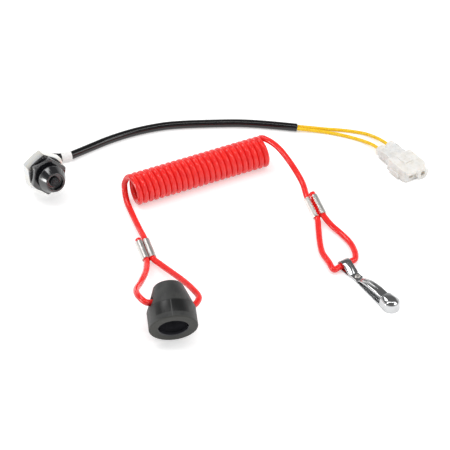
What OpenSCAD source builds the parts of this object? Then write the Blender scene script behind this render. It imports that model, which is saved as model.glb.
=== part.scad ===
// Safety stop switch with its pull-off cap on a coiled tether, laid out on a table.
// X runs to the right, Y away from the viewer, Z up, and the table is at Z = 0.

/* [Switch body] */
// Radius of the head's front face
head_front_r = 6.5; // [6:0.1:7.2]
// Radius of the head's base, which the cap's lip snaps over
head_base_r = 9.2; // [8.6:0.1:10]
// Length of the tapered head
head_len = 7.5; // [6:0.1:9]
// Length of the cylindrical land at the head's base
land_len = 1.6; // [1:0.1:2.5]
// Length of the neck groove behind the head
neck_len = 3.5; // [3:0.1:5]
// Radius of the neck groove
neck_r = 7.4; // [6.8:0.1:8]
// Width across flats of the moulded hexagon
flange_af = 21.5; // [20:0.5:23.5]
// Thickness of the moulded hexagon
flange_t = 5; // [3:0.1:8]
// Radius of the threaded shank
shank_r = 8; // [7.5:0.1:9]
// Length of the shank behind the hexagon
shank_len = 19; // [17:0.5:26]
// Radius of the chamber in the body
chamber_r = 5.6; // [5:0.1:6.2]
// Radius of the recess round the plunger
recess_r = 5.2; // [4.6:0.1:5.6]
// Depth of the recess round the plunger
recess_depth = 3; // [1:0.1:3]

/* [Plunger and contacts] */
// Radius of the plunger where it shows
plunger_r = 3.3; // [2.6:0.1:3.8]
// How far the plunger's crown stays behind the head's front face
plunger_sink = 0.6; // [0.2:0.1:1.5]
// Travel of the plunger
plunger_travel = 3; // [1.5:0.1:3.2]
// Thickness of the plunger's collar
collar_t = 2.5; // [1.5:0.1:3.5]
// Radius of the plunger's inner stem
stem_r = 1.8; // [1.2:0.1:2.2]
// Radius of the contact bridge
bridge_r = 4.1; // [3.8:0.1:4.2]
// Thickness of the contact sheet
contact_t = 0.8; // [0.5:0.1:1]
// Wire radius of the return spring
spring_wire_r = 0.35; // [0.25:0.05:0.5]
// Turns of the return spring
spring_turns = 5; // [3:1:8]

/* [Fixings] */
// Thickness of the rubber sealing washer
seal_t = 1.5; // [1:0.1:2.5]
// Outer radius of the rubber sealing washer
seal_r = 11.8; // [11:0.1:12.5]
// Width across flats of the lock nut
nut_af = 24; // [22:0.5:26]
// Thickness of the lock nut
nut_t = 10; // [6:0.5:12]
// Length of the rear plug in the shank
plug_len = 5; // [4:0.5:7]
// Length of the boot behind the shank
boot_len = 4; // [3:0.5:6]

/* [Lead and connector] */
// Outer radius of the black sleeve
sleeve_r = 2.8; // [2.4:0.1:3.2]
// Outer radius of a yellow wire
wire_r = 1.2; // [1:0.1:1.4]
// Length of the marker band on the sleeve
band_len = 7; // [5:0.5:10]
// Radius of the marker band
band_r = 3.4; // [3.2:0.1:3.8]
// Distance between the two ways of the connector
way_pitch = 8; // [7:0.5:9]
// Width of the connector's rear half
rear_w = 15.5; // [14:0.5:18]
// Length of the connector's rear half
rear_len = 15; // [12:0.5:18]
// Width of the connector's front half
front_w = 18.5; // [18:0.5:22]
// Length of the connector's front half
front_len = 19; // [16:0.5:24]
// Height of the connector
connector_h = 9; // [8.5:0.5:11]

/* [Cap] */
// Radius of the cap's small end
cap_small_r = 9; // [8:0.1:10]
// Radius of the cap's skirt
cap_skirt_r = 15; // [14:0.1:16]
// Length of the cap
cap_len = 29; // [28:0.5:32]
// Length of the cap's skirt
skirt_len = 12; // [9:0.5:14]
// How much the cap's lip grips the head's base
lip_grip = 0.2; // [0.1:0.05:0.4]
// Length of the cap's lip
lip_len = 3; // [2:0.1:3.4]
// Clearance between the head and the cap's hollow
cap_clear = 0.4; // [0.2:0.1:0.8]
// Distance of the tether hole from the small end
tether_hole_at = 12; // [10:0.5:12.5]
// Clearance round the cord in the tether hole
tether_hole_clear = 0.3; // [0.2:0.1:0.6]
// How far the tether hole's right end is turned down about the cap's axis
tether_hole_turn = 18; // [0:1:30]

/* [Tether] */
// Radius of the red cord
cord_r = 2; // [1.5:0.1:2]
// Outer radius of the coil
coil_r = 10.9; // [10:0.1:12]
// Length of the coil
coil_len = 103; // [80:1:110]
// Length of each crimp
crimp_len = 15; // [10:1:17]
// Thickness of the crimp's sheet
crimp_t = 0.6; // [0.4:0.1:1]

/* [Snap hook] */
// Thickness of the hook's sheet steel
hook_t = 1; // [0.8:0.1:1.3]
// Height of the hook's domed nose
nose_h = 7.7; // [7.5:0.1:9]
// Distance from the eye's centre to the nose's tip
hook_reach = 51; // [46:1:56]
// Width of the nose
nose_w = 11; // [10:0.5:13]
// Width of the neck
neck_w = 5.6; // [5:0.1:6.4]
// Width of the eye
eye_w = 6.6; // [6:0.1:8]
// Radius of the rounded edge along the nose's top
nose_edge = 2.5; // [1.8:0.1:2.5]
// Length of the nose's dome
nose_len = 11; // [9:0.5:13]
// Thickness of the gate's spring steel
gate_t = 0.7; // [0.5:0.1:0.9]
// Depth of the gate's turned-down sides
gate_side = 1.2; // [1:0.1:1.4]

/* [Hidden] */
$fn = 64;

// Clearances: a push fit, a sliding fit and the gap kept between bodies
push = 0.05;
slide = 0.05;
gap = 0.3;
cut = 1;

// Where each group lies on the table
table_shift = [12.4, 32, 0];
switch_yaw = 26;
switch_tilt = 15;
switch_at = [-116.6, 32.4];
cap_yaw = 8;
cap_tilt = 19;
cap_at = [-30.8, -113.1];
coil_yaw = 25.7;
coil_at = [-62.4, 21.8];
hook_yaw = -54;
hook_at = [75.5, -42.5];
connector_yaw = -56;
connector_at = [108, 76];

// Switch levels along its axis, zero at the rear of the hexagon, the head forward
flange_turn = 16.5;
head_round = 0.6;
head_z = flange_t + neck_len;
front_z = head_z + head_len;
crown_z = front_z - plunger_sink;
collar_top = front_z - recess_depth - 4.5;
roof_z = collar_top + gap;
collar_bottom = collar_top - collar_t;
plug_front = plug_len - shank_len;
bridge_front = plug_front + 9.2;
bridge_rear = bridge_front - contact_t;
spring_front = bridge_rear - 0.05;
spring_rear = plug_front + 0.05;
spring_r = 3.2;
contact_in = 4.4;
contact_w = 2.8;
lip_in = 3.1;
nut_rear = -seal_t - nut_t;
nut_corner_r = nut_af / 2 / cos(30);
nut_chamfer = (nut_corner_r - nut_af / 2) * tan(30);
// The nut rests on the table on its lowest corner, just ahead of its rear chamfer
switch_z = nut_corner_r * cos(switch_tilt) - (nut_rear + nut_chamfer) * sin(switch_tilt);

// Cap levels along its axis, zero at the small end, the mouth forward
skirt_z = cap_len - skirt_len;
cap_edge = 0.8;
lip_z = cap_len - lip_len;
seat_front = lip_z - head_len;
hollow_floor = seat_front - 1.5;
post_tip = seat_front + plunger_sink + plunger_travel;
post_r = plunger_r - 0.7;
tether_hole_r = cord_r + tether_hole_clear;
flare_r = 3.8;
flare_len = 2.2;
// The cap rests on the lowest point of its rounded rim
cap_z = (cap_skirt_r - cap_edge) * cos(cap_tilt) - cap_edge * sin(cap_tilt) + cap_edge;

// Eye of the hook: the sheet is folded round the cord
eye_in_r = cord_r + gap;
eye_out_r = eye_in_r + hook_t;
nose_x = hook_reach - nose_w / 2;
nose_from = hook_reach - nose_len;
nose_from_half = nose_w / 2 - 0.7;
leg_flat = 5;
leg_start = 9.5;
leg_end = 15;
rivet_x = 12.8;
gate_root_r = 0.65;
gate_root_half = 2.3;
gate_root_x = leg_end + 0.4 + gate_root_r;
gate_root_z = hook_t + 0.1 + gate_root_r;
gate_top = nose_h - hook_t - gap;
gate_under = gate_top - gate_t;
gate_edge = 1;
gate_bend_half = 2.8;
eye_end_x = 6;
neck_from_x = 10;
gate_bend_x = 21;
gate_tip_x = nose_from + 4;
gate_tip_half = nose_from_half - hook_t - gap;

function unit(v) = v / norm(v);
function arc(middle, r, from, to) =
    [for (i = [0:24]) middle + r * [cos(from + (to - from) * i / 24), sin(from + (to - from) * i / 24)]];
function about_z(a) = [[cos(a), -sin(a), 0], [sin(a), cos(a), 0], [0, 0, 1]];

// A point of the switch's own frame, its axis along Z, laid on the table
function switch_point(p) =
    let (tipped = [
        p[0],
        p[1] * sin(switch_tilt) - p[2] * cos(switch_tilt),
        p[1] * cos(switch_tilt) + p[2] * sin(switch_tilt)
    ])
    about_z(switch_yaw) * tipped + [switch_at[0], switch_at[1], switch_z];

// A point of the cap's own frame, its axis along Z from the small end
function cap_point(p) =
    let (q = p[2] - cap_len, tipped = [
        p[0],
        -p[1] * sin(cap_tilt) - q * cos(cap_tilt),
        p[1] * cos(cap_tilt) - q * sin(cap_tilt)
    ])
    about_z(cap_yaw) * tipped + [cap_at[0], cap_at[1], cap_z];

// A point on the axis of the cap's tether hole
function hole_point(x) = cap_point([x * cos(tether_hole_turn), -x * sin(tether_hole_turn), tether_hole_at]);

// A point of the hook's own frame, its length along X
function hook_point(p) = about_z(hook_yaw) * p + [hook_at[0], hook_at[1], 0];

function connector_point(p) = about_z(connector_yaw) * p + [connector_at[0], connector_at[1], 0];

// Crimp places: middle, then yaw, fall and roll of its long axis
crimp_cap_at = [-50.2, -30.2, 4.6];
crimp_cap_turn = [-71, 9, 4];
crimp_hook_at = [58.6, 10.4, 6.9];
crimp_hook_turn = [-66, 19, 18];
strand_y = cord_r + 0.1;

// A point of a crimp's frame: along, across, up
function crimp_point(at, turn, p) =
    let (rolled = [p[0], p[1] * cos(turn[2]) - p[2] * sin(turn[2]), p[1] * sin(turn[2]) + p[2] * cos(turn[2])])
    let (fallen = [
        rolled[0] * cos(turn[1]) + rolled[2] * sin(turn[1]),
        rolled[1],
        -rolled[0] * sin(turn[1]) + rolled[2] * cos(turn[1])
    ])
    about_z(turn[0]) * fallen + at;
function cap_crimp(p) = crimp_point(crimp_cap_at, crimp_cap_turn, p);
function hook_crimp(p) = crimp_point(crimp_hook_at, crimp_hook_turn, p);
crimp_half = crimp_len / 2;
terminal_from = 4;
tail = crimp_half + 2.5;

// Routes of the free cords, each from the object outwards
sleeve_start = -shank_len + 0.5;
sleeve_exit = -shank_len - boot_len;
sleeve_route = [
    switch_point([0, 0, sleeve_start]), switch_point([0, 0, sleeve_exit]),
    [-127.3, 56.8, 8.3], [-126.3, 61.8, 6.6], [-121.8, 65.3, 5.2], [-115, 66, 4.1],
    [-107, 67, 3.6], [-99, 72.6, 3.1], [-91, 78.6, 2.8], [-79, 86.8, 2.8],
    [-66, 93.9, 2.8], [-53, 99.2, 2.8], [-40, 102.8, 2.8], [-27, 104.4, 2.8],
    [-14, 105.2, 2.8], [-2, 105.7, 2.8], [10, 105.8, 2.8], [22, 104.9, 2.8],
    [36, 103, 2.8], [49.5, 100.8, 2.8]
];
wire_upper_route = [
    [49.95, 102.1, 2.8], [59, 101.9, 1.9], [69, 101.1, 1.3], [79, 99.9, 1.3], [88, 98.2, 1.3],
    [97, 94.9, 1.6], [104, 88.9, 2.6], [108.3, 83, 3.8],
    connector_point([0, way_pitch / 2, connector_h / 2]),
    connector_point([terminal_from, way_pitch / 2, connector_h / 2])
];
wire_lower_route = [
    [49.5, 99.5, 2.8], [59, 98.9, 1.9], [69, 97.5, 1.3], [78, 94.8, 1.3], [87.5, 91, 1.3],
    [94.5, 87, 1.6], [99, 82.6, 2.6], [102.3, 77.8, 3.8],
    connector_point([0, -way_pitch / 2, connector_h / 2]),
    connector_point([terminal_from, -way_pitch / 2, connector_h / 2])
];
cap_cord_route = [
    [-61.5, 26, 19.3], [-64, 29.4, 15.6], [-65.9, 29.9, 10.5], [-65.7, 27.2, 5.6],
    [-64.2, 20.4, 2.9], [-60.2, 8.2, 2.1], [-55.4, -7, 3.4],
    cap_crimp([-crimp_half, strand_y, 0]), cap_crimp([crimp_half, strand_y, 0]),
    [-40.3, -44.6, 4.9], [-33.4, -54.4, 7.2], [-26.2, -65.2, 10], [-20, -76, 12.6],
    [-15.9, -86, 14.2], hole_point(15), hole_point(11.5),
    hole_point(-11.5), hole_point(-15.5),
    [-52, -95, 23.6], [-54, -85, 19.6], [-52, -70, 12.6], [-49.6, -55, 7.6],
    [-49.2, -45, 5],
    cap_crimp([crimp_half, -strand_y, 0]), cap_crimp([-tail, -strand_y, 0])
];
hook_cord_route = [
    [25.5, 66.6, 19.9], [30.5, 62.5, 19.9], [36, 56.4, 18.9], [41.5, 49, 16], [46.8, 40, 12.8],
    [51, 30, 10.4], hook_crimp([-crimp_half, -strand_y, 0]), hook_crimp([crimp_half, -strand_y, 0]),
    [60.2, -8, 2.9], [60.6, -19, 2.3], [61.8, -30, 2.4], [65.4, -39.4, 2.9],
    hook_point([0, -8.5, eye_out_r]), hook_point([0, -4.5, eye_out_r]),
    hook_point([0, 4.5, eye_out_r]), hook_point([0, 8, eye_out_r]),
    [82.6, -31, 2.9], [80.2, -21, 2.4], [75, -12, 2.4], [68.8, -4, 3.1],
    hook_crimp([crimp_half, strand_y, 0]), hook_crimp([-tail, strand_y, 0])
];
wire_sides = 8;
cord_sides = 10;

module at_switch() {
    translate(table_shift)
        translate([switch_at[0], switch_at[1], switch_z])
            rotate([0, 0, switch_yaw])
                rotate([90 - switch_tilt, 0, 0])
                    children();
}

module at_cap() {
    translate(table_shift)
        translate([cap_at[0], cap_at[1], cap_z])
            rotate([0, 0, cap_yaw])
                rotate([90 + cap_tilt, 0, 0])
                    translate([0, 0, -cap_len])
                        children();
}

module at_hook() {
    translate(table_shift)
        translate([hook_at[0], hook_at[1], 0])
            rotate([0, 0, hook_yaw])
                children();
}

module at_connector() {
    translate(table_shift)
        translate([connector_at[0], connector_at[1], 0])
            rotate([0, 0, connector_yaw])
                children();
}

module at_crimp(at, turn) {
    translate(table_shift)
        translate(at)
            rotate([0, 0, turn[0]])
                rotate([0, turn[1], 0])
                    rotate([turn[2], 0, 0])
                        children();
}

// A disc or tube between two levels
module ring(r, z0, z1, bore = 0) {
    difference() {
        translate([0, 0, z0])
            cylinder(r = r, h = z1 - z0);
        if (bore > 0)
            translate([0, 0, z0 - cut])
                cylinder(r = bore, h = z1 - z0 + 2 * cut);
    }
}

module hexagon(af, z0, z1, turn = 30) {
    translate([0, 0, z0])
        rotate([0, 0, turn])
            cylinder(r = af / 2 / cos(30), h = z1 - z0, $fn = 6);
}

// Tube swept along a route: one ring a point, its frame carried from ring to ring
module swept_tube(points, r, sides) {
    n = len(points);
    along = [for (i = [0:n - 1]) unit(points[min(i + 1, n - 1)] - points[max(i - 1, 0)])];
    first = unit(cross(along[0], abs(along[0][2]) > 0.9 ? [1, 0, 0] : [0, 0, 1]));
    across = [
        for (i = 0, a = first; i < n;
             i = i + 1, a = i < n ? unit(a - along[i] * (a * along[i])) : a) a
    ];
    skin = [
        for (i = [0:n - 1])
            for (k = [0:sides - 1])
                points[i] + r * (cos(360 * k / sides) * across[i]
                    + sin(360 * k / sides) * cross(along[i], across[i]))
    ];
    walls = [
        for (i = [0:n - 2])
            for (k = [0:sides - 1])
                let (a = i * sides + k, b = i * sides + (k + 1) % sides)
                each [[a, a + sides, b + sides], [a, b + sides, b]]
    ];
    start_face = [for (k = [0:sides - 1]) k];
    end_face = [for (k = [sides - 1:-1:0]) (n - 1) * sides + k];
    polyhedron(points = skin, faces = concat(walls, [start_face, end_face]));
}

module switch_body() {
    color("#16171A")
        at_switch()
            difference() {
                union() {
                    rotate_extrude()
                        head_profile();
                    hexagon(flange_af, 0, flange_t, flange_turn);
                    ring(shank_r, -shank_len, cut);
                }
                ring(chamber_r, -shank_len - cut, roof_z);
                ring(plunger_r + slide, roof_z - cut, front_z + cut);
                ring(recess_r, front_z - recess_depth, front_z + cut);
            }
}

// Half section of the tapered head and its neck
module head_profile() {
    polygon([
        [0, flange_t - cut], [neck_r, flange_t - cut], [neck_r, head_z - head_round],
        [head_base_r - head_round, head_z - head_round], [head_base_r, head_z],
        [head_base_r, head_z + land_len], [head_front_r, front_z - head_round],
        [head_front_r - head_round, front_z], [0, front_z]
    ]);
}

module plunger() {
    crown = 0.5;
    color("#202226")
        at_switch() {
            difference() {
                union() {
                    ring(plunger_r, collar_top - cut, crown_z - crown);
                    translate([0, 0, crown_z - crown])
                        cylinder(r1 = plunger_r, r2 = plunger_r - crown, h = crown);
                    ring(chamber_r - 0.2, collar_bottom, collar_top);
                    ring(stem_r, bridge_rear - 1.5, collar_bottom + cut);
                }
                // Ring groove moulded into the crown
                difference() {
                    ring(plunger_r - 1, crown_z - 0.4, crown_z + cut);
                    ring(plunger_r - 1.5, crown_z - cut, crown_z + 2 * cut);
                }
            }
        }
}

module return_spring() {
    steps = 14;
    n = spring_turns * steps;
    rise = spring_front - spring_rear - 2 * spring_wire_r;
    path = [
        for (i = [0:n])
            [
                spring_r * cos(360 * i / steps), spring_r * sin(360 * i / steps),
                spring_rear + spring_wire_r + rise * i / n
            ]
    ];
    color("#B9BCC0")
        at_switch()
            swept_tube(path, spring_wire_r, 6);
}

module contact_bridge() {
    color("#C9A24B")
        at_switch()
            ring(bridge_r, bridge_rear, bridge_front, stem_r + push);
}

// Fixed contact strip: it runs back through the plug and its lip faces the bridge
module contact(side) {
    lip_z0 = bridge_front + 0.15;
    tail_z = -shank_len + 1;
    color("#C9A24B")
        at_switch()
            mirror([side < 0 ? 1 : 0, 0, 0])
                union() {
                    translate([contact_in, -contact_w / 2, tail_z])
                        cube([contact_t, contact_w, lip_z0 + contact_t - tail_z]);
                    translate([lip_in, -contact_w / 2, lip_z0])
                        cube([contact_in - lip_in + contact_t, contact_w, contact_t]);
                }
}

module contact_left() {
    contact(-1);
}

module contact_right() {
    contact(1);
}

module rear_plug() {
    color("#26272A")
        at_switch()
            difference() {
                ring(chamber_r - push, -shank_len, plug_front);
                ring(sleeve_r + push, -shank_len - cut, -shank_len + 1);
                for (side = [-1, 1])
                    mirror([side < 0 ? 1 : 0, 0, 0])
                        translate([contact_in - push, -contact_w / 2 - push, -shank_len + 1 - push])
                            cube([contact_t + 2 * push, contact_w + 2 * push, plug_len + cut]);
            }
}

module cable_boot() {
    boot_r = 4.6;
    color("#141416")
        at_switch()
            difference() {
                translate([0, 0, sleeve_exit])
                    cylinder(r1 = sleeve_r + 0.9, r2 = boot_r, h = boot_len);
                ring(sleeve_r + push, sleeve_exit - cut, -shank_len + cut);
            }
}

module seal_washer() {
    color("#0E0F10")
        at_switch()
            ring(seal_r, -seal_t, 0, shank_r + push);
}

module lock_nut() {
    bevel = nut_chamfer;
    color("#C8CACC")
        at_switch()
            difference() {
                intersection() {
                    hexagon(nut_af, nut_rear, -seal_t);
                    rotate_extrude()
                        polygon([
                            [0, nut_rear], [nut_af / 2, nut_rear], [nut_corner_r, nut_rear + bevel],
                            [nut_corner_r, -seal_t - bevel / 3], [nut_corner_r - 0.6, -seal_t], [0, -seal_t]
                        ]);
                }
                ring(shank_r + push, nut_rear - cut, -seal_t + cut);
            }
}

module lead_sleeve() {
    color("#111214")
        translate(table_shift)
            swept_tube(sleeve_route, sleeve_r, cord_sides);
}

// Plain tape band wrapped round the sleeve behind the switch
module marker_band() {
    from = sleeve_route[6] - unit(sleeve_route[7] - sleeve_route[5]) * band_len / 2;
    to = sleeve_route[6] + unit(sleeve_route[7] - sleeve_route[5]) * band_len / 2;
    yaw = atan2(to[1] - from[1], to[0] - from[0]);
    fall = atan2(from[2] - to[2], norm([to[0] - from[0], to[1] - from[1]]));
    color("#F2F2F0")
        translate(table_shift + from)
            rotate([0, 90 + fall, yaw])
                ring(band_r, 0, band_len, sleeve_r + push);
}

module wire_upper() {
    color("#F2C318")
        translate(table_shift)
            swept_tube(wire_upper_route, wire_r, wire_sides);
}

module wire_lower() {
    color("#F2C318")
        translate(table_shift)
            swept_tube(wire_lower_route, wire_r, wire_sides);
}

way_r = 3.1;
port_r = 1.9;
end_len = 2.5;

module connector_housing() {
    total = rear_len + front_len;
    round_r = 3;
    hood_t = 2;
    mid = connector_h / 2;
    color("#EDEBE6")
        at_connector()
            difference() {
                union() {
                    // Two joined barrels at the rear
                    for (side = [-1, 1])
                        translate([0, side * way_pitch / 2, mid])
                            rotate([0, 90, 0])
                                cylinder(r = mid - 0.6, h = rear_len + cut);
                    translate([3, -rear_w / 2 + 1, 0])
                        cube([rear_len - 3 + cut, rear_w - 2, connector_h - 1]);
                    // Wider front shell with rounded corners
                    translate([rear_len, 0, 0])
                        linear_extrude(connector_h)
                            rounded_rect(front_len, front_w, round_r);
                    // Latch step low on one side and its ramp on top
                    translate([rear_len + 4, -front_w / 2 - 1.2, 0])
                        cube([9, 2.4, connector_h / 2]);
                    translate([rear_len + 3, -3.5, connector_h - cut])
                        cube([8, 7, cut + 0.8]);
                    // Rounded end round the right-hand way and a hood over the left-hand one
                    translate([total - cut, way_pitch / 2, mid])
                        rotate([0, 90, 0])
                            cylinder(r = mid, h = end_len + cut);
                    translate([total - cut, -front_w / 2 + 1, connector_h - hood_t])
                        cube([end_len + cut, front_w / 2 + 2, hood_t]);
                }
                for (side = [-1, 1])
                    translate([-cut, side * way_pitch / 2, mid])
                        rotate([0, 90, 0]) {
                            cylinder(r = port_r, h = total + end_len + 2 * cut);
                            translate([0, 0, cut + terminal_from])
                                cylinder(r = way_r, h = total - terminal_from - 2);
                        }
            }
}

module rounded_rect(length, width, r) {
    difference() {
        translate([0, -width / 2])
            square([length, width]);
        for (side = [-1, 1])
            translate([length, side * width / 2])
                difference() {
                    square(2 * r, center = true);
                    translate([-r, -side * r])
                        circle(r);
                }
    }
}

// Brass bullet in one way of the connector
module terminal(side) {
    color("#C79A3A")
        at_connector()
            translate([0, side * way_pitch / 2, connector_h / 2])
                rotate([0, 90, 0])
                    difference() {
                        union() {
                            ring(way_r - 0.1, terminal_from + 2, rear_len + front_len - 4);
                            ring(port_r - 0.15, terminal_from, rear_len + front_len - 1.5);
                        }
                        ring(1, rear_len, rear_len + front_len);
                    }
}

module terminal_left() {
    terminal(-1);
}

module terminal_right() {
    terminal(1);
}

module cap() {
    cone_k = (cap_skirt_r - cap_small_r) / skirt_z;
    root = sqrt(1 + cone_k * cone_k);
    top_f = 2;
    top_c = cap_small_r + top_f * cone_k - top_f * root;
    color("#3C3D3E")
        at_cap()
            difference() {
                rotate_extrude()
                    union() {
                        polygon([
                            [0, 0], [top_c, 0], [top_c + top_f / root, top_f - top_f * cone_k / root],
                            [cap_skirt_r, skirt_z], [cap_skirt_r, cap_len - cap_edge],
                            [cap_skirt_r - cap_edge, cap_len], [0, cap_len]
                        ]);
                        translate([top_c, top_f])
                            circle(top_f);
                        translate([cap_skirt_r - cap_edge, cap_len - cap_edge])
                            circle(cap_edge);
                    }
                // Hollow: lip, groove for the head's base, taper for the head
                rotate_extrude()
                    polygon([
                        [0, hollow_floor], [head_front_r + cap_clear, hollow_floor],
                        [head_front_r + cap_clear, seat_front],
                        [head_base_r + cap_clear, lip_z - 0.8], [head_base_r + cap_clear, lip_z],
                        [head_base_r - lip_grip, lip_z + 0.4], [head_base_r - lip_grip, cap_len - 0.6],
                        [head_base_r - lip_grip + 0.6, cap_len], [head_base_r - lip_grip + 0.6, cap_len + cut],
                        [0, cap_len + cut]
                    ]);
                // Cross hole for the cord, flared at both ends
                translate([0, 0, tether_hole_at])
                    rotate([0, 90, -tether_hole_turn]) {
                        translate([0, 0, -cap_skirt_r])
                            cylinder(r = tether_hole_r, h = 2 * cap_skirt_r);
                        for (side = [0, 1])
                            mirror([0, 0, side])
                                translate([0, 0, cap_small_r + 1])
                                    cylinder(r1 = tether_hole_r, r2 = flare_r + 2, h = flare_len * 2);
                    }
            }
    // Post that presses the plunger while the cap is on
    color("#3C3D3E")
        at_cap()
            ring(post_r, hollow_floor - cut, post_tip);
}

module coil() {
    color("#E0262B")
        translate(table_shift)
            translate([coil_at[0], coil_at[1], coil_r])
                rotate([0, 90, coil_yaw])
                    ring(coil_r, 0, coil_len, coil_r - 2 * cord_r);
}

module cord_cap_end() {
    color("#E0262B")
        translate(table_shift)
            swept_tube(cap_cord_route, cord_r, wire_sides);
}

module cord_hook_end() {
    color("#E0262B")
        translate(table_shift)
            swept_tube(hook_cord_route, cord_r, wire_sides);
}

// Sheet clip folded round two strands: its edges turn down between them, a seam apart
module crimp(seam) {
    inner = cord_r + 0.1;
    outer = inner + crimp_t;
    rotate([90, 0, 90])
        translate([0, 0, -crimp_half])
            linear_extrude(crimp_len)
                difference() {
                    strands(outer);
                    strands(inner);
                    translate([-seam / 2, -inner + cut / 2])
                        square([seam, 2 * outer]);
                }
}

module strands(r) {
    for (side = [-1, 1])
        translate([side * strand_y, 0])
            circle(r);
    translate([-strand_y, -r])
        square([2 * strand_y, r]);
}

module crimp_cap_end() {
    color("#C9C6C1")
        at_crimp(crimp_cap_at, crimp_cap_turn)
            crimp(0.3);
}

module crimp_hook_end() {
    color("#C9C6C1")
        at_crimp(crimp_hook_at, crimp_hook_turn)
            crimp(1.6);
}

// Outline of the hook's plate from above: eye, neck, flare and round nose
module hook_outline() {
    nose_r = nose_w / 2;
    polygon([
        [-eye_out_r - cut, -eye_w / 2], [eye_end_x, -eye_w / 2], [neck_from_x, -neck_w / 2],
        [leg_end, -neck_w / 2], [nose_from, -nose_from_half], [nose_x, -nose_r], [nose_x, nose_r],
        [nose_from, nose_from_half], [leg_end, neck_w / 2], [neck_from_x, neck_w / 2],
        [eye_end_x, eye_w / 2], [-eye_out_r - cut, eye_w / 2]
    ]);
    translate([nose_x, 0])
        circle(nose_r);
}

// Side section of the folded sheet: plate, eye and riveted leg
module hook_section() {
    leg_in = leg_flat - 0.4;
    difference() {
        polygon(concat(arc([0, eye_out_r], eye_out_r, 90, 270), [
            [nose_from + cut, 0], [nose_from + cut, hook_t], [leg_end, hook_t],
            [leg_end, 2 * hook_t], [leg_start, 2 * hook_t + 0.3], [leg_flat, 2 * eye_out_r]
        ]));
        translate([0, eye_out_r])
            circle(eye_in_r);
        polygon([
            [1, eye_out_r], [1, hook_t], [leg_start - 1, hook_t], [leg_start - 1, hook_t + 0.3],
            [leg_in, 2 * eye_out_r - hook_t], [0.6, 2 * eye_out_r - hook_t], [0.6, eye_out_r]
        ]);
    }
}

// Thin cross section of a sheet channel, rounded along its two upper edges
module channel_end(x, half, base, top, edge) {
    translate([x, 0, 0])
        rotate([90, 0, 90])
            linear_extrude(0.1)
                polygon(concat(
                    [[half, base]],
                    arc([half - edge, top - edge], edge, 0, 90),
                    arc([edge - half, top - edge], edge, 90, 180),
                    [[-half, base]]
                ));
}

// Domed nose, smaller by an inset for its inside
module nose_form(inset, base, from) {
    r = nose_w / 2 - inset;
    top = nose_h - inset;
    edge = nose_edge - inset;
    hull() {
        channel_end(from, nose_from_half - inset, base, top, edge);
        translate([nose_x, 0, base])
            cylinder(r = r, h = top - edge - base, $fn = 32);
        translate([nose_x, 0, top - edge])
            rotate_extrude($fn = 32)
                translate([r - edge, 0])
                    intersection() {
                        circle(edge, $fn = 24);
                        square(edge);
                    }
    }
}

module hook_body() {
    rivet_hole_r = 1.2;
    color("#B9BDC0")
        at_hook()
            difference() {
                union() {
                    intersection() {
                        rotate([90, 0, 0])
                            translate([0, 0, -nose_w])
                                linear_extrude(2 * nose_w)
                                    hook_section();
                        translate([0, 0, -cut])
                            linear_extrude(nose_h + 2 * cut)
                                hook_outline();
                    }
                    nose_form(0, 0, nose_from);
                }
                nose_form(hook_t, hook_t, nose_from - cut);
                translate([rivet_x, 0, -cut])
                    cylinder(r = rivet_hole_r, h = 3 * hook_t + cut);
            }
}

// Gate: a tongue that rises from its rolled root and becomes a channel with a tapered slot
module hook_gate() {
    slot_half = 0.9;
    slot_to = 33;
    color("#C4C8CA")
        at_hook()
            difference() {
                union() {
                    rotate([90, 0, 0])
                        translate([0, 0, -gate_root_half])
                            linear_extrude(2 * gate_root_half)
                                gate_section();
                    hull() {
                        channel_end(gate_bend_x - 1, gate_bend_half, gate_top - gate_side, gate_top, gate_edge);
                        channel_end(gate_tip_x, gate_tip_half, gate_top - gate_side, gate_top, gate_edge);
                    }
                }
                hull() {
                    channel_end(gate_bend_x + cut, gate_bend_half - gate_t, 0, gate_under, gate_edge - gate_t);
                    channel_end(gate_tip_x + cut, gate_tip_half - gate_t, 0, gate_under, gate_edge - gate_t);
                }
                translate([0, 0, gate_root_z + gate_root_r])
                    linear_extrude(nose_h)
                        polygon([
                            [gate_root_x + 2, -slot_half], [slot_to, -0.2], [slot_to, 0.2],
                            [gate_root_x + 2, slot_half]
                        ]);
            }
}

// Side section of the gate's root and rise
module gate_section() {
    translate([gate_root_x, gate_root_z])
        circle(gate_root_r);
    polygon([
        [gate_root_x, gate_root_z - gate_root_r + 0.1], [gate_bend_x, gate_under],
        [gate_bend_x + 2 * cut, gate_under], [gate_bend_x + 2 * cut, gate_top],
        [gate_bend_x - 0.5, gate_top], [gate_root_x - 0.3, gate_root_z + 0.5]
    ]);
}

module hook_rivet() {
    shank = 1.15;
    head_r = 1.9;
    head_h = 0.7;
    seat = 2 * hook_t + 0.3;
    color("#B4B0AA")
        at_hook()
            translate([rivet_x, 0, 0]) {
                ring(shank, 0.1, seat);
                translate([0, 0, seat])
                    cylinder(r1 = head_r, r2 = head_r - 0.6, h = head_h);
            }
}

switch_body();
plunger();
return_spring();
contact_bridge();
contact_left();
contact_right();
rear_plug();
cable_boot();
seal_washer();
lock_nut();
lead_sleeve();
marker_band();
wire_upper();
wire_lower();
connector_housing();
terminal_left();
terminal_right();
cap();
coil();
cord_cap_end();
cord_hook_end();
crimp_cap_end();
crimp_hook_end();
hook_body();
hook_gate();
hook_rivet();
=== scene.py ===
# %% [markdown]
# # A safety stop switch, its pull-off cap and the coiled tether between cap and belt
# The real object is a small plunger switch on a two-wire lead, and a rubber cap that snaps over the
# switch's head. A red coiled cord ties the cap to a pressed snap hook. Here it lies apart on a table.
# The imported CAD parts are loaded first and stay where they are. Each new piece is made at the place
# of the CAD part that it dresses, so nothing has to be fitted by eye.

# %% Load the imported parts
import math

import bmesh
import bpy
from mathutils import Matrix, Vector


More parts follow.
